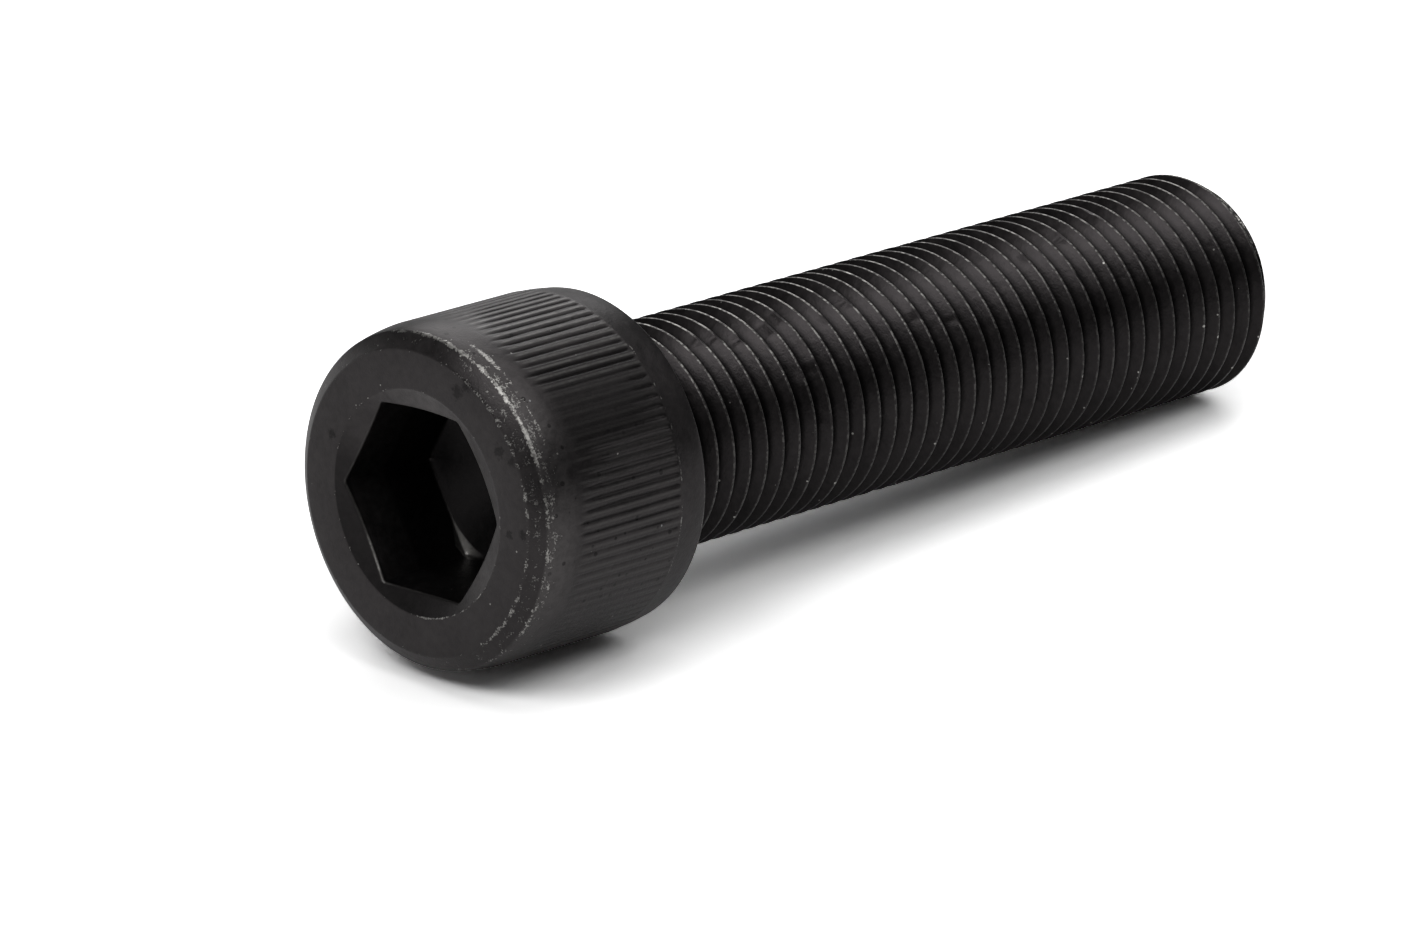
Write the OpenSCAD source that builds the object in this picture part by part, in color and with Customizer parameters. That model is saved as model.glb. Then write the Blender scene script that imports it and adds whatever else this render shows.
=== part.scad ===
// Socket head cap screw, 1/2 in - 20 UNF x 2 in, black oxide alloy steel.
// The screw stands on the face of its head: Z = 0 is that face, +Z runs along
// the axis towards the tip, and X passes through two corners of the socket.

/* [Shank] */
// Outside diameter of the thread
thread_d = 12.65; // [8:0.05:16]
// Thread pitch, which sets how deep the thread and the point go
thread_pitch = 1.27; // [0.5:0.01:2]
// Length from under the head to the tip
shank_l = 49.5; // [10:0.5:150]
// Fillet radius where the shank leaves the head
neck_fillet = 0.6; // [0.2:0.05:1]

/* [Head] */
// Diameter over the knurl
head_d = 18.85; // [18:0.05:30]
// Height of the head
head_h = 12.5; // [10.4:0.1:25]
// Width of the bevel round the face
bevel_w = 0.85; // [0.2:0.05:1]
// Height of the bevel round the face
bevel_h = 0.65; // [0.2:0.05:1]
// How far the crown above the knurl draws in at the bevel
crown_in = 0.27; // [0.1:0.01:0.5]
// How far the band under the knurl draws in at the rim
band_in = 0.2; // [0.1:0.01:0.5]
// Broken edge between the band and the bearing face
rim_edge = 0.2; // [0.1:0.05:0.4]

/* [Knurl] */
// Number of ridges round the head
knurl_teeth = 98; // [40:1:140]
// Depth of the grooves between the ridges
knurl_depth = 0.2; // [0.1:0.01:0.3]
// Width of the flat on top of a ridge
ridge_flat = 0.15; // [0.05:0.01:0.25]
// Height of the face's edge below the start of the knurl
knurl_from = 2.4; // [1.5:0.1:3]
// Height of the plain band between the knurl and the bearing face
band_h = 2.2; // [1:0.1:4]

/* [Socket] */
// Hexagon socket, across flats
hex_af = 9.6; // [6:0.05:12]
// Depth of the hexagon from the face
hex_depth = 6.4; // [4:0.1:8.5]
// How far the mouth's chamfer reaches past the hexagon's corners
mouth_lip = 0.65; // [0.2:0.05:1]
// Slope of the mouth's chamfer from the face, in degrees
mouth_slope = 30; // [15:1:45]
// Ledge left between the flats and the drilled recess in the floor
floor_ledge = 0.15; // [0.05:0.05:0.5]
// Depth of the drilled recess below the hexagon's floor
recess_h = 1.7; // [0.5:0.1:2]

/* [Hidden] */
eps = 0.01;
round_fn = 180;

head_r = head_d / 2;
thread_r = thread_d / 2;
root_r = thread_r - 0.6134 * thread_pitch;
face_r = head_r - crown_in - bevel_w;
knurl_to = head_h - band_h;
tip_z = head_h + shank_l;
hex_corner_r = hex_af / sqrt(3);
mouth_r = hex_corner_r + mouth_lip;
recess_r = hex_af / 2 - floor_ledge;
tooth_turn = 360 / knurl_teeth;
// Half the angle that the flat of a ridge spans
flat_half = ridge_flat / head_r * 90 / PI;

function polar(r, angle) = [r * cos(angle), r * sin(angle)];

// Half section of the head and shank, from the face to the tip
module body_section() {
    polygon([
        [0, 0],
        [face_r, 0],
        [head_r - crown_in, bevel_h],
        [head_r, knurl_from],
        [head_r, knurl_to],
        [head_r - band_in, head_h - rim_edge],
        [head_r - band_in - rim_edge, head_h],
        [thread_r, head_h],
        [thread_r, tip_z - (thread_r - root_r)],
        [root_r, tip_z],
        [0, tip_z]
    ]);
}

// Half section of the fillet in the corner between the bearing face and the shank
module neck_fillet_section() {
    translate([thread_r - eps, head_h - eps])
        difference() {
            square(neck_fillet + eps);
            translate([neck_fillet + eps, neck_fillet + eps])
                circle(r = neck_fillet, $fn = round_fn);
        }
}

// Ring with a toothed bore: what the knurling tool takes off the head
module knurl_grooves() {
    translate([0, 0, knurl_from])
        linear_extrude(knurl_to - knurl_from)
            difference() {
                circle(r = head_r + 1, $fn = round_fn);
                polygon([
                    for (i = [0 : knurl_teeth - 1])
                        each [
                            polar(head_r + eps, i * tooth_turn - flat_half),
                            polar(head_r + eps, i * tooth_turn + flat_half),
                            polar(head_r - knurl_depth, (i + 0.5) * tooth_turn)
                        ]
                ]);
            }
}

// Hexagon, its chamfered mouth and the drilled recess in its floor
module hex_socket() {
    translate([0, 0, -1])
        cylinder(r = hex_corner_r, h = hex_depth + 1, $fn = 6);
    rotate_extrude($fn = round_fn)
        polygon([
            [0, -eps],
            [mouth_r + eps, -eps],
            [0, mouth_r * tan(mouth_slope)]
        ]);
    rotate_extrude($fn = round_fn)
        polygon([
            [0, hex_depth - eps],
            [recess_r, hex_depth - eps],
            [recess_r, hex_depth],
            [0, hex_depth + recess_h]
        ]);
}

module cap_screw() {
    color([0.21, 0.2, 0.2])
        difference() {
            union() {
                rotate_extrude($fn = round_fn)
                    body_section();
                rotate_extrude($fn = round_fn)
                    neck_fillet_section();
            }
            knurl_grooves();
            hex_socket();
        }
}

cap_screw();
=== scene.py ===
import math
import random

import bmesh
import bpy
from mathutils import Matrix, Vector, noise


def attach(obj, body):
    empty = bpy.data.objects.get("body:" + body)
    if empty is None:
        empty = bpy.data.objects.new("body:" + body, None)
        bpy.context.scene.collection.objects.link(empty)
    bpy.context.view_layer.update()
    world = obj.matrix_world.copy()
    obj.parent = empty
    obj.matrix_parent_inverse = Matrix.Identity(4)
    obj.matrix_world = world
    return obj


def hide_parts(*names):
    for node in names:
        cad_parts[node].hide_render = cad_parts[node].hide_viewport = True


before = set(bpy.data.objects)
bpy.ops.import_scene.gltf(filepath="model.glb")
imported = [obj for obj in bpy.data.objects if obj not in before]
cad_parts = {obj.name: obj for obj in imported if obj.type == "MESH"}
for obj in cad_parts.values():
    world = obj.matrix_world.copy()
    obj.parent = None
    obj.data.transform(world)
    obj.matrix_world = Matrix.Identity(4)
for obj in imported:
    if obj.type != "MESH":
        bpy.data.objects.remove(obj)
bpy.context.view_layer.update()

# The head is upset on the end of a length of alloy steel wire, and the screw stands
# on its face. It is turned true, a straight knurl is rolled round it, and the
# hexagon socket is punched into the face. Sizes are in millimetres.
HEAD_R = 9.425
BEARING_Z = 12.5
HEX_AF = 9.6
HEX_DEPTH = 6.4
HEX_CORNER_ROUNDING = 0.05
SOCKET_BOTTOM_Z = 8.1
PINHOLE_R = 0.01
MOUTH_TURN_R, MOUTH_TURN_Z = 5.82, 0.214
INNER_SLOPE = math.tan(math.radians(18))
FLARE_AT_FLATS, FLARE_AT_CORNERS = 0.23, 0.17
FLARE_END_Z = 2.4
EDGE_ROUNDING = 0.13

# The knurl. Its patches are given by their middle and reach in degrees round the axis:
# in one the grooves start late, in one faintly, one is filled and one smeared flat.
KNURL_TEETH = 98
KNURL_DEPTH = 0.08
KNURL_FROM, KNURL_TO = 2.4, 10.3
GROOVE_RUN_IN, GROOVE_RUN_OUT = 0.9, 0.16
GROOVES_STOP_SHORT = 0.02
LATE_PATCH, LATE_BY = (40, 18), 1.6
FAINT_PATCH, FAINT_RUN_IN = (315, 45), 3.5
FILLED_PATCH, FILLED_SHARE = (98, 50), 0.85
SMEARED_MIDDLE, SMEARED_REACH, SMEARED_TO_Z, SMEARED_SHARE = 24, 12, 9.6, 0.9
UNEVEN_START = 0.4
EVEN_DEPTH, UNEVEN_DEPTH = 0.95, 0.45
GROOVE_WANDER = 0.05

# Across one tooth, from one groove to the next: where each step lies, and how much of
# the groove's depth it has
TOOTH = [
    (0, 1), (0.07, 0.76), (0.14, 0.4), (0.22, 0.07),
    (0.5, 0), (0.78, 0.07), (0.86, 0.4), (0.93, 0.76),
]
HEAD_STEPS = KNURL_TEETH * len(TOOTH)
KNURL_ROWS = (
    2.45, 2.6, 2.8, 3.05, 3.4, 4.0, 4.7, 5.5, 6.3, 7.1, 7.9, 8.7, 9.4, 9.9, 10.12, 10.22, KNURL_TO,
)

# Radius and height of each row, from the bottom of the socket to the bearing face. In
# the hexagon the radius is the distance inside its wall. On its rounded edge it is
# how far along the rounding the row lies, from the cone of the mouth to the wall.
HEAD_ROWS = [
    (0, SOCKET_BOTTOM_Z, "round"),
    (2.2, 7.34, "round"),
    (4.1, 6.7, "round"),
    (0.45, HEX_DEPTH + 0.13, "hexagon"),
    (0.14, HEX_DEPTH + 0.02, "hexagon"),
    (0.05, HEX_DEPTH - 0.04, "hexagon"),
    (0, HEX_DEPTH - 0.15, "hexagon"),
    (0, 4.2, "hexagon"),
    (0, FLARE_END_Z, "hexagon"),
    (1.0, 0, "hexagon edge"),
    (0.7, 0, "hexagon edge"),
    (0.4, 0, "hexagon edge"),
    (0, 0, "hexagon edge"),
    (MOUTH_TURN_R, MOUTH_TURN_Z, "round"),
    (6.13, 0.036, "round"),
    (6.2, 0.008, "round"),
    (6.28, 0, "round"),
    (7.2, 0, "round"),
    (8.22, 0, "round"),
    (8.3, 0.012, "round"),
    (8.37, 0.05, "round"),
    (8.75, 0.33, "round"),
    (9.1, 0.6, "round"),
    (9.16, 0.66, "round"),
    (9.19, 0.74, "round"),
    (9.28, 1.2, "round"),
    (9.37, 1.8, "round"),
    (9.415, 2.25, "round"),
    *((HEAD_R, height, "knurl") for height in KNURL_ROWS),
    (HEAD_R, 10.36, "round"),
    (9.405, 10.5, "round"),
    (9.34, 11.4, "round"),
    (9.235, 12.2, "round"),
    (9.2, 12.34, "round"),
    (9.13, 12.44, "round"),
    (9.02, BEARING_Z, "round"),
    (8.0, BEARING_Z, "round"),
    (6.8, BEARING_Z, "round"),
]


def at(radius, angle, height):
    """The place that is this far from the axis, this far round it and this high."""
    return radius * math.cos(angle), radius * math.sin(angle), height


def angle_of(vert):
    return math.atan2(vert.co.y, vert.co.x)


def clamp(value):
    return min(1, max(0, value))


def outline(bm, points):
    """A line of edges through the points. Gives its vertices and its edges."""
    verts = [bm.verts.new(point) for point in points]
    return verts, [bm.edges.new(pair) for pair in zip(verts, verts[1:])]


def hexagon_radius(angle):
    """How far the wall of the socket is from the axis. Its corners are a little rounded."""
    off_flat = math.radians((math.degrees(angle) % 60) - 30)
    return min(HEX_AF / 2 / math.cos(off_flat), HEX_AF / math.sqrt(3) - HEX_CORNER_ROUNDING)


def edge_point(wall, share):
    """A point on the rounded edge between the mouth and the wall: its radius and height."""
    at_flats, at_corners = HEX_AF / 2, HEX_AF / math.sqrt(3)
    towards_corner = (wall - at_flats) / (at_corners - at_flats)
    opening = wall + FLARE_AT_FLATS + (FLARE_AT_CORNERS - FLARE_AT_FLATS) * towards_corner
    corner = Vector((opening, MOUTH_TURN_Z + (MOUTH_TURN_R - opening) * INNER_SLOPE))
    on_cone = corner + Vector((1, -INNER_SLOPE)) * EDGE_ROUNDING
    on_wall = corner + (Vector((wall, FLARE_END_Z)) - corner).normalized() * EDGE_ROUNDING
    return on_cone.lerp(corner, share).lerp(corner.lerp(on_wall, share), share)


def within(degrees, patch):
    """From 1 at the middle of a patch of the knurl to 0 at its ends."""
    middle, reach = patch
    return max(0, 1 - abs(degrees - middle) / reach)


def uneven_by(*place):
    """A value between -1 and 1 that changes softly with the place."""
    return noise.noise(Vector(place))


def groove_share(tooth, height):
    """How much of its depth a groove has at this height. It runs in softly at the face's
    side and stops short at the band."""
    tooth %= KNURL_TEETH
    degrees = tooth / KNURL_TEETH * 360
    late = within(degrees, LATE_PATCH)
    faint = within(degrees, FAINT_PATCH)
    start = KNURL_FROM + LATE_BY * late + UNEVEN_START * uneven_by(tooth * 0.9, 3.1, 0)
    run_in = clamp((height - start) / (GROOVE_RUN_IN + FAINT_RUN_IN * faint + late))
    run_in = run_in * run_in * (3 - 2 * run_in)
    run_out = clamp((KNURL_TO - GROOVES_STOP_SHORT - height) / GROOVE_RUN_OUT)
    filled = FILLED_SHARE * within(degrees, FILLED_PATCH)
    smeared = clamp(1.6 - 1.6 * ((degrees - SMEARED_MIDDLE) / SMEARED_REACH) ** 2)
    smeared *= SMEARED_SHARE * clamp(SMEARED_TO_Z - height)
    rolled = EVEN_DEPTH + UNEVEN_DEPTH * uneven_by(tooth * 1.3, height * 0.7, 5.0)
    return run_in * run_out * (1 - filled) * (1 - smeared) * rolled


# The outline is spun round the axis with a pinhole left at the bottom of the socket. Then
# each vertex goes to its place by its row and its step round the axis.
screw = bmesh.new()
row_of = screw.verts.layers.int.new("row")
line, edges = outline(screw, [
    (max(radius, PINHOLE_R) if shape == "round" else HEX_AF / 2, 0, height)
    for radius, height, shape in HEAD_ROWS
])
for number, vert in enumerate(line):
    vert[row_of] = number
bmesh.ops.spin(
    screw, geom=line + edges, cent=(0, 0, 0), axis=(0, 0, 1), angle=math.tau,
    steps=HEAD_STEPS, use_merge=True, use_duplicate=False,
)
for vert in screw.verts:
    radius, height, shape = HEAD_ROWS[vert[row_of]]
    step = round(angle_of(vert) / math.tau * HEAD_STEPS) % HEAD_STEPS
    angle = step / HEAD_STEPS * math.tau
    if shape.startswith("hexagon"):
        corner_angle = round(angle / math.tau * 6) / 6 * math.tau
        if abs(angle - corner_angle) < math.tau / HEAD_STEPS / 2:
            angle = corner_angle
        wall = hexagon_radius(angle)
        if shape == "hexagon":
            radius = wall - radius
        else:
            radius, height = edge_point(wall, radius)
    elif shape == "knurl":
        tooth, part = divmod(step, len(TOOTH))
        place, depth = TOOTH[part]
        groove = tooth + (1 if place > 0.5 else 0)
        if depth:
            place += GROOVE_WANDER * uneven_by(groove % KNURL_TEETH * 0.8, height * 0.5, 9.0)
        angle = (tooth + place) / KNURL_TEETH * math.tau
        radius -= KNURL_DEPTH * depth * groove_share(groove, height)
    vert.co = at(radius, angle, height)
bottom = [v for v in screw.verts if v[row_of] == 0]
bmesh.ops.pointmerge(screw, verts=bottom, merge_co=(0, 0, SOCKET_BOTTOM_Z))

# The shank is threaded over its whole length: a 20 to the inch thread is rolled on
# the blank, whose end was chamfered first, so the last turn fades into the point.
# Under the head the thread runs out into the fillet of the neck. A crest crosses +X at
# CREST_AT_X, and at every pitch above it.
PITCH = 1.27
CREST_R = 6.325
CREST_AT_X = 0.895
THREAD_STEPS = 128
TIP_Z = 62.0
TIP_R = 5.3
CHAMFER_END_R, CHAMFER_END_Z = 5.5, 61.88
NECK_R = 5.95
NECK_FILLET = 0.6
FILLET_FOOT = 0.3
NECK_RINGS = (12.56, 12.64, 12.74, 12.86, 13.0)
RUN_OUT_FROM_Z, RUN_OUT_LENGTH = 12.7, 1.5
NECK_ROOT_R, NECK_ROOT_DROP = 6.0, 0.3
POINT_RINGS = (61.05, 61.18, 61.3, 61.45, 61.6, 61.75, CHAMFER_END_Z, 61.94)

# The end of the point is a shallow dish: radius of each ring, and how far below the tip
DISH = ((5.05, 0), (4.4, 0.03), (3.4, 0.12), (1.6, 0.17), (0.4, 0.18))
DISH_DEPTH = 0.18

# Half of the form of one thread, as shares of the pitch: along the axis from the
# middle of the root, and down from the crest
HALF_THREAD = [(0, 0.6134), (0.0722, 0.594), (0.125, 0.541), (0.42, 0.03), (0.452, 0.007), (0.5, 0)]
thread_form = HALF_THREAD + [(1 - along, down) for along, down in reversed(HALF_THREAD[:-1])]

# Nicks in the crests, from being stored loose with other screws: degrees round the
# axis, height, size and depth. Each is longer along the crest than across it.
NICKS = [
    (354.5, 25.05, 0.34, 0.12), (359.2, 23.75, 0.36, 0.12), (29.2, 23.7, 0.26, 0.1),
    (2.0, 21.3, 0.26, 0.1), (356.5, 20.0, 0.24, 0.1), (355.5, 18.7, 0.24, 0.09),
    (23.5, 36.6, 0.24, 0.1), (357.2, 30.1, 0.28, 0.1), (332.2, 43.65, 0.36, 0.13),
    (4.2, 27.5, 0.24, 0.09), (18.0, 24.9, 0.24, 0.1), (26.3, 25.15, 0.24, 0.1),
    (15.5, 33.95, 0.24, 0.08), (354.0, 47.8, 0.32, 0.11), (342.8, 51.55, 0.32, 0.11),
    (1.2, 44.0, 0.24, 0.08), (20.2, 46.8, 0.24, 0.08), (47.8, 38.0, 0.26, 0.09),
    (55.2, 25.2, 0.24, 0.08), (63.5, 28.9, 0.24, 0.08), (52.7, 39.75, 0.32, 0.12),
    (56.2, 45.7, 0.26, 0.09),
]
NICK_LENGTHENING = 1 / 0.65
NICK_DEPTH_SHARE = 0.75
NICKS_BEHIND = 46
BEHIND = ((70, 325), (14, 60.5), (0.22, 0.36), (0.07, 0.13))
chance = random.Random(4)
for _ in range(NICKS_BEHIND):
    NICKS.append(tuple(chance.uniform(least, greatest) for least, greatest in BEHIND))
nicks_near = {}
for degrees, height, size, depth in NICKS:
    for level in range(round(height) - 1, round(height) + 2):
        nicks_near.setdefault(level, []).append((math.radians(degrees), height, size, depth))

shank = bmesh.new()
line, edges = outline(
    shank, [(CREST_R - down * PITCH, 0, along * PITCH) for along, down in thread_form])
bmesh.ops.spin(
    shank, geom=line + edges, cent=(0, 0, 0), axis=(0, 0, 1), angle=math.tau,
    dvec=(0, 0, PITCH / THREAD_STEPS), steps=THREAD_STEPS, use_duplicate=False,
)
first = round((BEARING_Z - CREST_AT_X) / PITCH) - 2
last = round((TIP_Z - CREST_AT_X) / PITCH) + 1
one_turn = shank.verts[:] + shank.edges[:] + shank.faces[:]
for turn in range(first + 1, last + 1):
    copied = bmesh.ops.duplicate(shank, geom=one_turn)["geom"]
    moved = [v for v in copied if isinstance(v, bmesh.types.BMVert)]
    bmesh.ops.translate(shank, verts=moved, vec=(0, 0, (turn - first) * PITCH))
thread_bottom = CREST_AT_X - PITCH / 2 + first * PITCH
bmesh.ops.translate(shank, verts=shank.verts, vec=(0, 0, thread_bottom))
bmesh.ops.remove_doubles(shank, verts=shank.verts, dist=0.002)

# The thread is cut off at both ends, and ringed where the neck and the point are shaped.
# A cut is made only in the faces near it, which at an end take in all the spare turns.
SPARE_TURNS_REACH, RING_REACH = 4, 1
cuts = [(BEARING_Z, -1), (TIP_Z, 1)] + [(height, 0) for height in NECK_RINGS + POINT_RINGS]
for height, outside in cuts:
    reach = SPARE_TURNS_REACH if outside else RING_REACH
    faces = [f for f in shank.faces if abs(f.verts[0].co.z - height) < reach]
    near = dict.fromkeys(g for f in faces for g in (*f.verts, *f.edges))
    bmesh.ops.bisect_plane(
        shank, geom=faces + list(near), dist=1e-4, plane_co=(0, 0, height),
        plane_no=(0, 0, outside or 1), clear_outer=bool(outside),
    )
for vert in shank.verts:
    height = vert.co.z
    radius = math.hypot(vert.co.x, vert.co.y)
    angle = angle_of(vert)
    for nick_angle, nick_height, size, depth in nicks_near.get(round(height), ()):
        turned = (angle - nick_angle + math.pi) % math.tau - math.pi
        along_crest = turned * CREST_R / NICK_LENGTHENING
        off = math.hypot(along_crest, height - nick_height) / size
        if off < 1:
            radius = min(radius, CREST_R - NICK_DEPTH_SHARE * depth * (1 - off * off))
    # the thread is shallower in its last turn under the head
    formed = clamp((height - RUN_OUT_FROM_Z) / RUN_OUT_LENGTH)
    shallow = NECK_ROOT_R - NECK_ROOT_DROP * formed
    if radius < shallow:
        radius = radius + (shallow - radius) * (1 - formed)
    # the fillet is no wider than the crests but at its very foot
    if height < BEARING_Z + NECK_FILLET:
        rise = BEARING_Z + NECK_FILLET - height
        fillet_r = NECK_R + NECK_FILLET - math.sqrt(max(0, NECK_FILLET**2 - rise**2))
        radius = max(radius, fillet_r)
        radius = min(radius, CREST_R + max(0, FILLET_FOOT - (height - BEARING_Z)))
    # the chamfer cuts into the thread, and its last edge is rounded
    if height < CHAMFER_END_Z:
        radius = min(radius, CHAMFER_END_R + CHAMFER_END_Z - height)
    else:
        past = (height - CHAMFER_END_Z) / (TIP_Z - CHAMFER_END_Z)
        radius = min(radius, CHAMFER_END_R - (CHAMFER_END_R - TIP_R) * past * past)
    vert.co = at(radius, angle, height)
rim = [e for e in shank.edges if e.is_boundary and all(v.co.z > TIP_Z - 0.01 for v in e.verts)]
for radius, below in DISH:
    bmesh.ops.extrude_edge_only(shank, edges=rim)
    rim = [e for e in shank.edges if e.is_boundary and e.verts[0].co.z > TIP_Z - 1]
    for vert in dict.fromkeys(v for e in rim for v in e.verts):
        vert.co = at(radius, angle_of(vert), TIP_Z - below)
middle = dict.fromkeys(v for e in rim for v in e.verts)
bmesh.ops.pointmerge(shank, verts=list(middle), merge_co=(0, 0, TIP_Z - DISH_DEPTH))
bmesh.ops.recalc_face_normals(shank, faces=shank.faces)

# The screw is one piece of steel, so the shank's mesh is welded to the head's where the
# fillet of the neck meets the bearing face, and the whole is one closed skin
METRES = 0.001
SHARP = math.radians(42)


def to_mesh(bm, name):
    made = bpy.data.meshes.new(name)
    bm.to_mesh(made)
    bm.free()
    return made


def to_scene(name, data):
    made = bpy.data.objects.new(name, data)
    bpy.context.collection.objects.link(made)
    return made


shank_mesh = to_mesh(shank, "shank")
screw.from_mesh(shank_mesh)
bpy.data.meshes.remove(shank_mesh)
bmesh.ops.bridge_loops(screw, edges=[e for e in screw.edges if e.is_boundary])
bmesh.ops.remove_doubles(screw, verts=screw.verts, dist=0.001)
bmesh.ops.recalc_face_normals(screw, faces=screw.faces)
for face in screw.faces:
    face.smooth = True
for edge in screw.edges:
    edge.smooth = edge.calc_face_angle(0) < SHARP
bmesh.ops.scale(screw, verts=screw.verts, vec=(METRES, METRES, METRES))
mesh = to_mesh(screw, "cap_screw_body")
body = to_scene("cap_screw_body", mesh)

# The finish is hot black oxide over steel: a thin satin coat, a little patchy. It has
# rubbed through to bright specks along the edges of the head and of the thread, and more
# bright marks are painted on as highlights. Shade is painted darker into the socket, the
# roots of the thread and other hollows and undersides. Its grain is in millimetres.
COAT_DARK = (0.0293, 0.0268, 0.0275, 1)
COAT_PALE = (0.054, 0.0493, 0.05, 1)
# a paler coat, for thin places and for painted light
COAT_THIN_AND_LIT = (0.101, 0.0945, 0.0945, 1)
# a near black, for oil stains and for painted shade
OIL_AND_SHADE = (0.006, 0.006, 0.006, 1)
# bare steel, for wear and for painted highlights
STEEL_AND_HIGHLIGHT = (0.46, 0.45, 0.43, 1)
DUST = (0.34, 0.34, 0.35, 1)
FINE_GRAIN, SMALL_GRAIN, COARSE_GRAIN, PATCH_GRAIN = 0.1, 0.19, 0.48, 2.6
GRAIN_HEIGHT = 0.01
HEAD_ROUGHNESS, SHANK_ROUGHNESS = 0.36, 0.31
oxide = bpy.data.materials.new("black_oxide")
oxide.use_nodes = True


def add(tree, kind, feeds=(), **settings):
    """Adds a node. `feeds` gives its sockets a value or another node's output."""
    made = tree.nodes.new("ShaderNode" + kind)
    for name, value in settings.items():
        setattr(made, name, value)
    for socket, value in dict(feeds).items():
        if isinstance(value, bpy.types.NodeSocket):
            tree.links.new(value, made.inputs[socket])
        else:
            made.inputs[socket].default_value = value
    return made


def reckon(tree, operation, *values):
    return add(tree, "Math", enumerate(values), operation=operation).outputs[0]


def times(tree, first, *others):
    for other in others:
        first = reckon(tree, "MULTIPLY", first, other)
    return first


def most(tree, first, *others):
    for other in others:
        first = reckon(tree, "MAXIMUM", first, other)
    return first


def blend(tree, first, first_share, second, second_share):
    return reckon(tree, "ADD", times(tree, first, first_share), times(tree, second, second_share))


def away_from(tree, value, middle):
    return reckon(tree, "ABSOLUTE", reckon(tree, "SUBTRACT", value, middle))


def fade(tree, value, start, end, low=0.0, high=1.0):
    """`low` where the value is at `start`, `high` at `end`, and a soft step between them."""
    feeds = {0: value, 1: start, 2: end, 3: low, 4: high}
    return add(tree, "MapRange", feeds, interpolation_type="SMOOTHSTEP").outputs[0]


def mix(tree, share, colour, other_colour):
    feeds = {"Factor": share, 6: colour, 7: other_colour}
    return add(tree, "Mix", feeds, data_type="RGBA").outputs[2]


def new_group(name, inputs, outputs):
    group = bpy.data.node_groups.new(name, "ShaderNodeTree")
    for side, sockets in (("INPUT", inputs), ("OUTPUT", outputs)):
        for socket, kind in sockets:
            group.interface.new_socket(socket, in_out=side, socket_type="NodeSocket" + kind)
    ends = group.nodes.new("NodeGroupInput").outputs, group.nodes.new("NodeGroupOutput").inputs
    return group, *ends


# Fine broken grain from 0 to 1, whose grains are about `Size` across
flecks, given, found = new_group(
    "flecks", [("Position", "Vector"), ("Size", "Float")], [("Grain", "Float")])
grain = add(flecks, "TexNoise", {
    "Vector": given["Position"], "Scale": reckon(flecks, "DIVIDE", 1, given["Size"]),
    "Detail": 2, "Roughness": 0.6,
}).outputs[0]
flecks.links.new(add(flecks, "MapRange", {0: grain, 1: 0.3, 2: 0.7}).outputs[0], found["Grain"])

# Metal rubbed bright along a ring round the axis. The grain breaks it up, and `Amount`
# says how far it has gone: at 1 it is bare, at 0.2 there are a few specks.
RING_SOCKETS = ("Radius", "Height", "Ring Radius", "Ring Height", "Width", "Amount", "Grain")
worn_ring, given, found = new_group(
    "worn ring", [(name, "Float") for name in RING_SOCKETS], [("Mask", "Float")])
outward = reckon(worn_ring, "SUBTRACT", given["Radius"], given["Ring Radius"])
upward = reckon(worn_ring, "SUBTRACT", given["Height"], given["Ring Height"])
squares = reckon(
    worn_ring, "ADD", reckon(worn_ring, "POWER", outward, 2), reckon(worn_ring, "POWER", upward, 2))
apart = reckon(worn_ring, "SQRT", squares)
on_ring = fade(worn_ring, reckon(worn_ring, "DIVIDE", apart, given["Width"]), 1, 0)
rubbed = times(worn_ring, given["Amount"], on_ring, 1.2)
bare = fade(worn_ring, reckon(worn_ring, "SUBTRACT", rubbed, given["Grain"]), 0, 0.18)
worn_ring.links.new(bare, found["Mask"])

# Small separate dots, such as dust or chips: `Share` of the cells of a loose pattern have one
dots, given, found = new_group(
    "dots",
    [("Position", "Vector"), ("Spacing", "Float"), ("Size", "Float"), ("Share", "Float")],
    [("Mask", "Float")],
)
cells = add(dots, "TexVoronoi", {
    "Vector": given["Position"], "Scale": reckon(dots, "DIVIDE", 1, given["Spacing"]),
})
lot = add(dots, "SeparateColor", {0: cells.outputs["Color"]})
chosen = reckon(dots, "LESS_THAN", lot.outputs[0], given["Share"])
share_of_cell = reckon(dots, "DIVIDE", given["Size"], given["Spacing"])
reach = times(dots, share_of_cell, reckon(dots, "ADD", lot.outputs[1], 0.5))
inside = fade(dots, reckon(dots, "DIVIDE", cells.outputs["Distance"], reach), 1, 0.6)
dots.links.new(times(dots, inside, chosen), found["Mask"])

# A stain with a broken outline
smudge, given, found = new_group(
    "smudge",
    [("Position", "Vector"), ("Centre", "Vector"), ("Size", "Float"), ("Grain", "Float")],
    [("Mask", "Float")],
)
ends = {0: given["Position"], 1: given["Centre"]}
apart = add(smudge, "VectorMath", ends, operation="DISTANCE").outputs["Value"]
size_away = reckon(smudge, "DIVIDE", apart, given["Size"])
ragged = reckon(smudge, "MULTIPLY_ADD", given["Grain"], 0.8, size_away)
smudge.links.new(fade(smudge, ragged, 1.35, 0.7), found["Mask"])

# Where a point of the skin is: its radius and height, and its turn from 0 to 1 round the axis
tree = oxide.node_tree
bsdf = tree.nodes["Principled BSDF"]
metres = add(tree, "TexCoord").outputs["Object"]
position = add(tree, "Mapping", {"Vector": metres, "Scale": (1 / METRES,) * 3}).outputs[0]
axes = add(tree, "SeparateXYZ", {0: position}).outputs
height = axes["Z"]
squares = reckon(
    tree, "ADD", reckon(tree, "POWER", axes["X"], 2), reckon(tree, "POWER", axes["Y"], 2))
radius = reckon(tree, "SQRT", squares)
round_axis = reckon(tree, "ARCTAN2", axes["Y"], axes["X"])
turn = reckon(tree, "ADD", reckon(tree, "DIVIDE", round_axis, math.tau), 0.5)


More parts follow.
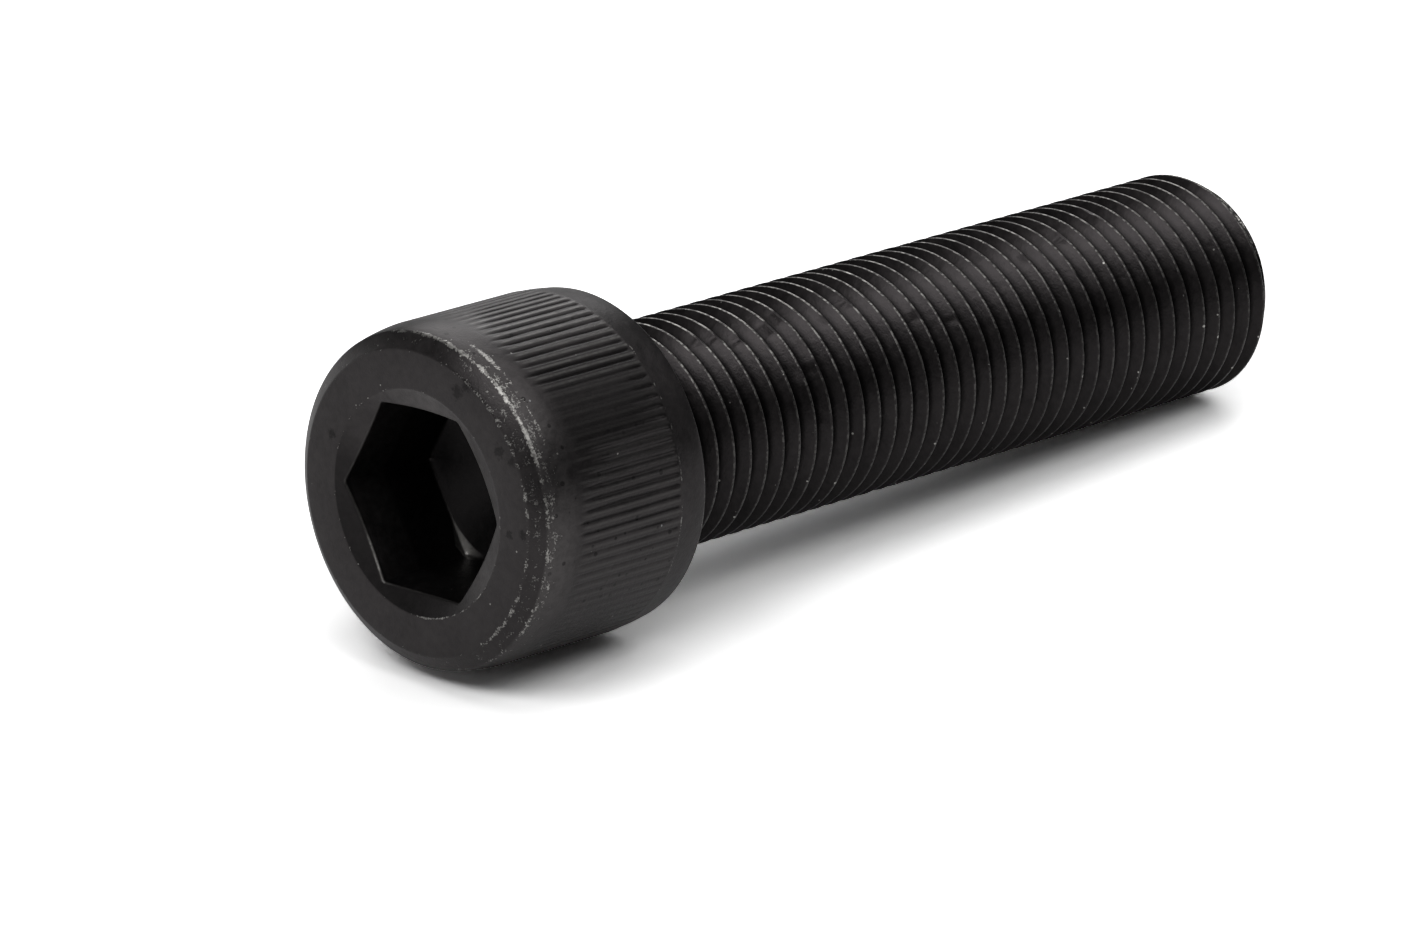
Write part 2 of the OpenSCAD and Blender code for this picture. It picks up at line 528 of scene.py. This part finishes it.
def group_of(group, **feeds):
    """What a group finds. Its inputs are given by name, with _ for a space."""
    made = add(tree, "Group", node_tree=group)
    for name, value in feeds.items():
        socket = made.inputs[name.replace("_", " ").title()]
        if isinstance(value, bpy.types.NodeSocket):
            tree.links.new(value, socket)
        else:
            socket.default_value = value
    return made.outputs[0]


def around(*amounts):
    """A value that changes round the axis: pairs of degrees, from -180 to 180, and the value."""
    ramp = add(tree, "ValToRGB", {0: turn})
    stops = ramp.color_ramp.elements
    while len(stops) < len(amounts):
        stops.new(0.5)
    for stop, (degrees, amount) in zip(stops, amounts):
        stop.position = degrees / 360 + 0.5
        stop.color = (amount, amount, amount, 1)
    return ramp.outputs[0]


fine, small, coarse, patches = (
    group_of(flecks, position=position, size=size)
    for size in (FINE_GRAIN, SMALL_GRAIN, COARSE_GRAIN, PATCH_GRAIN)
)
broken = blend(tree, fine, 0.5, coarse, 0.5)

# The places that wear, oil and painted light and shade keep to. Each is a mask, from 0 outside it
# to 1 inside.
on_bevel = times(tree, fade(tree, radius, 8.3, 8.45), fade(tree, height, 0.72, 0.6))
on_crown = times(tree, fade(tree, radius, 8.95, 9.2), fade(tree, height, 3.4, 1.4))
before_band = fade(tree, height, 10.6, 10.2)
on_knurl = times(tree, fade(tree, radius, 9.2, 9.3), fade(tree, height, 2.6, 3.6), before_band)
short_of_band = fade(tree, height, 10.34, 10.26)
on_ridge = times(
    tree, fade(tree, radius, 9.415, 9.4245), fade(tree, height, 2.7, 3.4), short_of_band)
in_groove = times(
    tree, fade(tree, radius, 9.418, 9.37), fade(tree, height, 2.7, 3.2), short_of_band)
in_mouth = times(tree, fade(tree, radius, 6.22, 6.15), fade(tree, height, 0.75, 0.5))
in_socket = times(
    tree, fade(tree, radius, 5.9, 5.3), fade(tree, height, 0.6, 1.6), fade(tree, height, 10, 9))
on_walls = times(tree, in_socket, fade(tree, height, 6.42, 6.3))
on_floor = times(tree, in_socket, fade(tree, height, 6.3, 6.42))
on_shank = fade(tree, height, 12.6, 12.7)
on_crest = times(tree, fade(tree, radius, 6.285, 6.32), on_shank)
near_crest = times(tree, fade(tree, radius, 6.2, 6.27), on_shank)
in_root = times(tree, fade(tree, radius, 6.05, 5.6), on_shank, fade(tree, height, 61.7, 61.3))

# Each worn edge: radius, height, width, how bright its specks are, and how worn it is at
# degrees round the axis
WORN_EDGES = [
    # the outer edge of the bevel
    (9.16, 0.65, 0.3, 1, [
        (-180, 0.24), (-60, 0.24), (-42, 0.5), (-30, 0.61), (-15, 0.62), (0, 0.6), (15, 0.63),
        (32, 0.65), (38, 0.55), (45, 0.42), (55, 0.46), (65, 0.4), (75, 0.46), (90, 0.48),
        (105, 0.44), (120, 0.36), (135, 0.24), (180, 0.24)]),
    # the inner edge of the bevel
    (8.30, 0.02, 0.3, 0.8, [
        (-180, 0.24), (-22, 0.24), (-10, 0.4), (0, 0.44), (10, 0.46), (20, 0.4), (30, 0.44),
        (40, 0.34), (48, 0.44), (60, 0.34), (80, 0.38), (90, 0.48), (100, 0.52), (108, 0.42),
        (120, 0.28), (180, 0.24)]),
    # the socket's mouth
    (6.20, 0.01, 0.12, 0.8, [
        (-180, 0.24), (-30, 0.3), (90, 0.3), (100, 0.44), (115, 0.46), (122, 0.3), (128, 0.6),
        (145, 0.6), (155, 0.24), (180, 0.24)]),
    # the crown behind the bevel: a line of wear, then scuffs
    (9.32, 1.45, 0.34, 1, [
        (-180, 0), (-22, 0), (-12, 0.54), (-2, 0.56), (4, 0.34), (12, 0.3), (18, 0.42),
        (28, 0.42), (34, 0.24), (50, 0.2), (120, 0.2), (180, 0)]),
    (9.22, 0.95, 0.62, 0.9, [
        (-180, 0), (-30, 0), (-15, 0.36), (5, 0.38), (15, 0.42), (32, 0.42), (42, 0.42),
        (60, 0.38), (80, 0.36), (110, 0.3), (140, 0), (180, 0)]),
    # the middle of the bevel
    (8.75, 0.32, 0.7, 0.5, [
        (-180, 0.2), (-30, 0.26), (0, 0.34), (40, 0.34), (80, 0.32), (120, 0.26), (180, 0.2)]),
    # the ends of the knurl's grooves
    (9.42, 10.4, 0.12, 0.5, [(-180, 0.35), (60, 0.35), (80, 0.5), (100, 0.4), (180, 0.35)]),
    # the rear edge of the head
    (9.20, 12.34, 0.2, 0.6, [
        (-180, 0.28), (40, 0.32), (60, 0.4), (80, 0.36), (110, 0.28), (180, 0.28)]),
    # the chamfer of the point
    (5.85, 61.45, 0.8, 0.9, [
        (-180, 0.36), (-110, 0.42), (-50, 0.6), (-20, 0.52), (20, 0.44), (60, 0.36),
        (180, 0.36)]),
]
worn_edges = []
for ring_radius, ring_height, width, bright, amounts in WORN_EDGES:
    ring = group_of(
        worn_ring, radius=radius, height=height, ring_radius=ring_radius, ring_height=ring_height,
        width=width, amount=around(*amounts), grain=broken,
    )
    worn_edges.append(times(tree, ring, fade(tree, small, 0.9, 0.15, bright * 0.35, bright)))

# The crests of the thread are rubbed thin along their whole length, brighter in places,
# and painted brighter on the upper side as a highlight. The ridges of the knurl have a thin
# line of wear, painted brighter on the upper side as a highlight, and chips lie anywhere.
crest_grain = blend(tree, small, 0.6, coarse, 0.4)
# wear along the crests, with a painted highlight on the upper side
crest_wear_and_highlight = times(
    tree, on_crest, fade(tree, crest_grain, 0.65, 0.25, 0.12, 1.35),
    fade(tree, height, 25, 50, 1, 0.7),
    around(
        (-180, 0.3), (-70, 0.75), (-10, 0.7), (20, 0.34), (45, 0.18), (60, 0.12), (110, 0.1),
        (180, 0.3)),
)
across_tooth = reckon(tree, "FRACT", times(tree, turn, KNURL_TEETH))
on_ridge_line = fade(tree, away_from(tree, across_tooth, 0.5), 0.2, 0.05)
# wear on the knurl's ridges, with a painted highlight on the upper side
ridge_wear_and_highlight = times(
    tree, on_ridge, on_ridge_line, fade(tree, coarse, 0.9, 0.2, 0.6, 1),
    around(
        (-180, 0.03), (-60, 0.16), (-20, 0.2), (0, 0.18), (11, 0.12), (17, 0.03), (31, 0.03),
        (38, 0.1), (50, 0.09), (70, 0.05), (180, 0.03)),
)
chips = group_of(dots, position=position, spacing=0.55, size=0.055, share=0.05)
crest_chips = group_of(dots, position=position, spacing=0.4, size=0.075, share=0.12)

# The socket's edge is painted bright along one side as a highlight, and a pool of light
# is painted on the ledge in one corner of its floor
mouth_z = reckon(
    tree, "MULTIPLY_ADD", radius, -INNER_SLOPE, MOUTH_TURN_Z + MOUTH_TURN_R * INNER_SLOPE)
past_mouth = reckon(tree, "SUBTRACT", height, mouth_z)
# painted highlight along one side of the socket's edge
painted_edge_highlight = times(
    tree, fade(tree, past_mouth, 0.003, 0.03), fade(tree, past_mouth, 0.16, 0.08),
    fade(tree, radius, 5.9, 5.8), fade(tree, coarse, 0.9, 0.2, 0.5, 1),
    around(
        (-180, 0.3), (-175, 0.36), (-158, 0.3), (-148, 0.08), (-30, 0.1), (0, 0.65), (30, 0.95),
        (62, 0.65), (90, 0.12), (174, 0.08), (180, 0.3)),
)
LEDGE_R, LEDGE_Z = 5.25, 6.38
from_ledge = reckon(
    tree, "ADD", away_from(tree, radius, LEDGE_R), away_from(tree, height, LEDGE_Z))
# a painted pool of light on the ledge in one corner of the floor
painted_ledge_light = times(tree, fade(tree, from_ledge, 0.56, 0.4), around(
    (-180, 0.55), (-174, 0.42), (-166, 0.26), (-156, 0.12), (-148, 0), (168, 0), (176, 0.3),
    (180, 0.55)))
# real wear and chips, with the painted highlights of the crests, ridges, socket edge and ledge
worn_and_highlights = most(
    tree, *worn_edges, crest_wear_and_highlight, ridge_wear_and_highlight, times(tree, chips, 0.7),
    times(tree, crest_chips, near_crest), painted_edge_highlight, painted_ledge_light,
)

# Where the coat is paler. Light is painted on one side of the crown behind the bevel, on
# one side of the mouth and on one side of the bevel. The coat is thin from handling on the
# socket's walls, and a little all over the head
# painted light: a paler coat on one side of the crown
painted_crown_light = times(tree, on_crown, around(
    (-180, 0.1), (-60, 0.3), (-25, 0.4), (8, 0.55), (22, 1), (45, 0.95), (75, 1), (110, 0.7),
    (150, 0.1), (180, 0.1)))
# painted light: a paler coat on one side of the mouth
painted_mouth_light = times(tree, in_mouth, around(
    (-180, 0), (-100, 0), (-70, 0.25), (-45, 0.6), (-20, 1), (30, 0.8), (60, 0.9), (95, 0.8),
    (118, 0.2), (180, 0)))
# painted light: a paler coat on one side of the bevel
painted_bevel_light = times(tree, on_bevel, around(
    (-180, 0.1), (-130, 0.2), (-100, 0.6), (-50, 0.6), (-15, 0.2), (60, 0.1), (180, 0.1)))
# the painted light above, with a thin coat on the socket's walls from handling
handled_and_lit = times(
    tree, most(tree, painted_crown_light, painted_mouth_light, painted_bevel_light, times(tree, on_walls, 0.5)),
    fade(tree, coarse, 0, 1, 0.6, 1),
)
# a thin coat all over the head, with the painted light
thin_and_lit = most(tree, times(tree, before_band, 0.18), handled_and_lit)

# Where it is darker: painted shade in the socket and on its floor, in the roots of the
# thread, in the grooves and along one band of the knurl, on the shank's underside and on
# one side of the mouth. There are also dark pits in the knurl and a few oil stains on the face
# painted shade in the knurl's grooves
painted_groove_shade = times(tree, in_groove, around(
    (-180, 0.5), (-60, 0.5), (-5, 0.55), (10, 0.3), (40, 0.3), (55, 0.4), (110, 0.3),
    (180, 0.5)))
# painted shade on a band of the knurl, from about 8 to 30 degrees round the axis
painted_knurl_shade = times(tree, on_knurl, around(
    (-180, 0.1), (-20, 0.02), (-4, 0.15), (8, 0.5), (30, 0.48), (42, 0.2), (58, 0), (110, 0),
    (180, 0.1)))
# painted shade on the shank's underside, towards the sheet
painted_underside_shade = times(tree, on_shank, around(
    (-180, 0.3), (-100, 0.1), (-70, 0), (25, 0), (60, 0.26), (110, 0.4), (180, 0.3)))
# painted shade on one side of the mouth
painted_mouth_shade = times(tree, in_mouth, around(
    (-180, 0.5), (-110, 0.45), (-90, 0), (90, 0), (130, 0.5), (180, 0.5)))
pits = times(
    tree, group_of(dots, position=position, spacing=0.6, size=0.13, share=0.3),
    fade(tree, radius, 9.1, 9.3), fade(tree, height, 10.4, 10.2, 0, 0.6),
)
# painted shade in the socket, on its floor, in the thread's roots, in the grooves, on a band of the
# knurl, under the shank and in the mouth, with real pits and stains
oil_and_painted_shade = most(
    tree, blend(tree, in_socket, 0.05, on_floor, 0.62), times(tree, in_root, 0.8), painted_groove_shade,
    painted_knurl_shade, pits, painted_underside_shade, painted_mouth_shade,
)
STAINS = [
    # degrees round the axis, distance from it, size
    (262, 6.85, 0.4), (27, 7.4, 0.5), (32.5, 8.0, 0.4), (62.5, 6.9, 0.35), (60.8, 7.9, 0.36),
    (355, 7.4, 0.55), (358, 8.1, 0.45), (57.5, 8.86, 0.4),
]
for degrees, distance, size in STAINS:
    centre = at(distance, math.radians(degrees), 0)
    stain = group_of(smudge, position=position, centre=centre, size=size, grain=small)
    oil_and_painted_shade = most(tree, oil_and_painted_shade, times(tree, stain, 0.5))

# Dust lies on it here and there. Then the colours go over each other: coat, thin coat with
# painted light, oil with painted shade, bare steel with painted highlights, and dust. The
# shank is a little glossier than the head.
dust = times(tree, group_of(dots, position=position, spacing=0.9, size=0.06, share=0.03), 0.7)
coat = mix(tree, blend(tree, patches, 0.5, coarse, 0.5), COAT_DARK, COAT_PALE)
coat = mix(tree, thin_and_lit, coat, COAT_THIN_AND_LIT)
coat = mix(tree, oil_and_painted_shade, coat, OIL_AND_SHADE)
coat = mix(tree, worn_and_highlights, coat, STEEL_AND_HIGHLIGHT)
coat = mix(tree, dust, coat, DUST)
satin = reckon(
    tree, "MULTIPLY_ADD", on_shank, SHANK_ROUGHNESS - HEAD_ROUGHNESS, HEAD_ROUGHNESS)
satin = reckon(tree, "ADD", satin, blend(tree, coarse, 0.05, patches, 0.05))
uneven = reckon(tree, "ADD", times(tree, fine, 0.6), coarse)
bump = add(tree, "Bump", {"Height": uneven, "Strength": 0.7, "Distance": GRAIN_HEIGHT * METRES})
tree.links.new(coat, bsdf.inputs["Base Color"])
tree.links.new(reckon(tree, "SUBTRACT", 1, dust), bsdf.inputs["Metallic"])
tree.links.new(satin, bsdf.inputs["Roughness"])
tree.links.new(bump.outputs[0], bsdf.inputs["Normal"])
mesh.materials.append(oxide)
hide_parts("cap_screw")
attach(body, "root")

# The screw is shown lying on a pale sheet: the sheet touches the band of the head
# and the last turns of the thread. `up` leaves the sheet, and `away` runs along it. It
# looks whiter than what it gives off onto the screw. Sizes from here on are in metres.
SHEET_SIZE = 0.6
SHEET_BELOW = 0.01003
SHEET_LIT, SHEET_SEEN = 0.94, 2.17
right = Vector((0.35842, 0.62595, 0.69262))
up = Vector((0.89374, -0.44443, -0.06084))
away = up.cross(right)
stage = Matrix((right, away, up)).transposed().to_4x4()
sheet_bm = bmesh.new()
bmesh.ops.create_grid(sheet_bm, x_segments=1, y_segments=1, size=SHEET_SIZE)
bmesh.ops.translate(sheet_bm, verts=sheet_bm.verts, vec=(0, 0, -SHEET_BELOW))
bmesh.ops.transform(sheet_bm, matrix=stage, verts=sheet_bm.verts)
sheet_mesh = to_mesh(sheet_bm, "sheet")
sheet = to_scene("sheet", sheet_mesh)
sheet.visible_shadow = False
paper = bpy.data.materials.new("paper")
paper.use_nodes = True
paper.node_tree.nodes.clear()
seen_directly = add(paper.node_tree, "LightPath").outputs["Is Camera Ray"]
brightness = add(
    paper.node_tree, "MapRange", {0: seen_directly, 3: SHEET_LIT, 4: SHEET_SEEN}).outputs[0]
white = add(paper.node_tree, "BsdfDiffuse", {"Color": brightness}).outputs[0]
clear = add(paper.node_tree, "BsdfTransparent").outputs[0]
underside = add(paper.node_tree, "NewGeometry").outputs["Backfacing"]
either = add(paper.node_tree, "MixShader", {0: underside, 1: white, 2: clear})
add(paper.node_tree, "OutputMaterial", {"Surface": either.outputs[0]})
sheet_mesh.materials.append(paper)

# Soft lights of equal width round the sheet: degrees round from straight ahead to the
# right, degrees above the sheet, and strength. The last two fill the screw's underside.
LIGHT_WIDTH = math.radians(30)
LIGHTS = [
    (0, 90, 0.087), (90, 72, 0.023), (0, 52, 0.075), (45, 52, 0.084), (90, 52, 0.061),
    (135, 52, 0.092), (180, 52, 0.112), (225, 52, 0.204), (315, 52, 0.032), (0, 28, 0.138),
    (72, 28, 0.026), (225, 10, 0.042), (270, 15, 0.022), (299, -5, 0.09), (286, -45, 0.07),
]
for number, (round_sheet, above, strength) in enumerate(LIGHTS):
    light = bpy.data.lights.new(f"soft_light_{number}", "SUN")
    light.energy = strength * math.pi
    light.angle = LIGHT_WIDTH
    lamp = to_scene(light.name, light)
    heading, lift = math.radians(round_sheet), math.radians(above)
    towards = stage.to_3x3() @ Vector(
        (math.sin(heading) * math.cos(lift), math.cos(heading) * math.cos(lift), math.sin(lift)))
    lamp.rotation_mode = "QUATERNION"
    lamp.rotation_quaternion = towards.to_track_quat("Z", "Y")

# The room past the sheet is white to look at. It lights the screw hardly at all, but is
# mirrored in it as a faint glow.
ROOM_SEEN, ROOM_LIT, ROOM_GLOW = 1.1, 0.01, 0.02
world = bpy.data.worlds.new("studio")
bpy.context.scene.world = world
world.use_nodes = True
room = world.node_tree
ray = add(room, "LightPath").outputs
backdrop = add(room, "MapRange", {0: ray["Is Camera Ray"], 3: ROOM_LIT, 4: ROOM_SEEN}).outputs[0]
glow = reckon(room, "MULTIPLY_ADD", ray["Is Glossy Ray"], ROOM_GLOW, backdrop)
background = room.nodes["Background"].inputs
background["Color"].default_value = (1, 1, 1, 1)
room.links.new(glow, background["Strength"])
bpy.context.scene.view_settings.view_transform = "Standard"

# The camera looks down on the sheet from in front of the head, through a long lens that
# is held level with the sheet's `right`. Its sensor and focal length are in millimetres.
SENSOR, FOCAL_LENGTH = 36, 252.16
CAMERA_PLACE = (0.30911, 0.23750, -0.35211)
camera_up = Vector((0.73471, -0.64685, 0.20439))
camera_back = Vector((0.57596, 0.43561, -0.69174))
lens = bpy.data.cameras.new("camera")
lens.sensor_width = SENSOR
lens.lens = FOCAL_LENGTH
lens.clip_start, lens.clip_end = 0.01, 10
camera = to_scene("camera", lens)
camera.location = CAMERA_PLACE
camera.rotation_mode = "QUATERNION"
camera.rotation_quaternion = Matrix((right, camera_up, camera_back)).transposed().to_quaternion()
bpy.context.scene.camera = camera
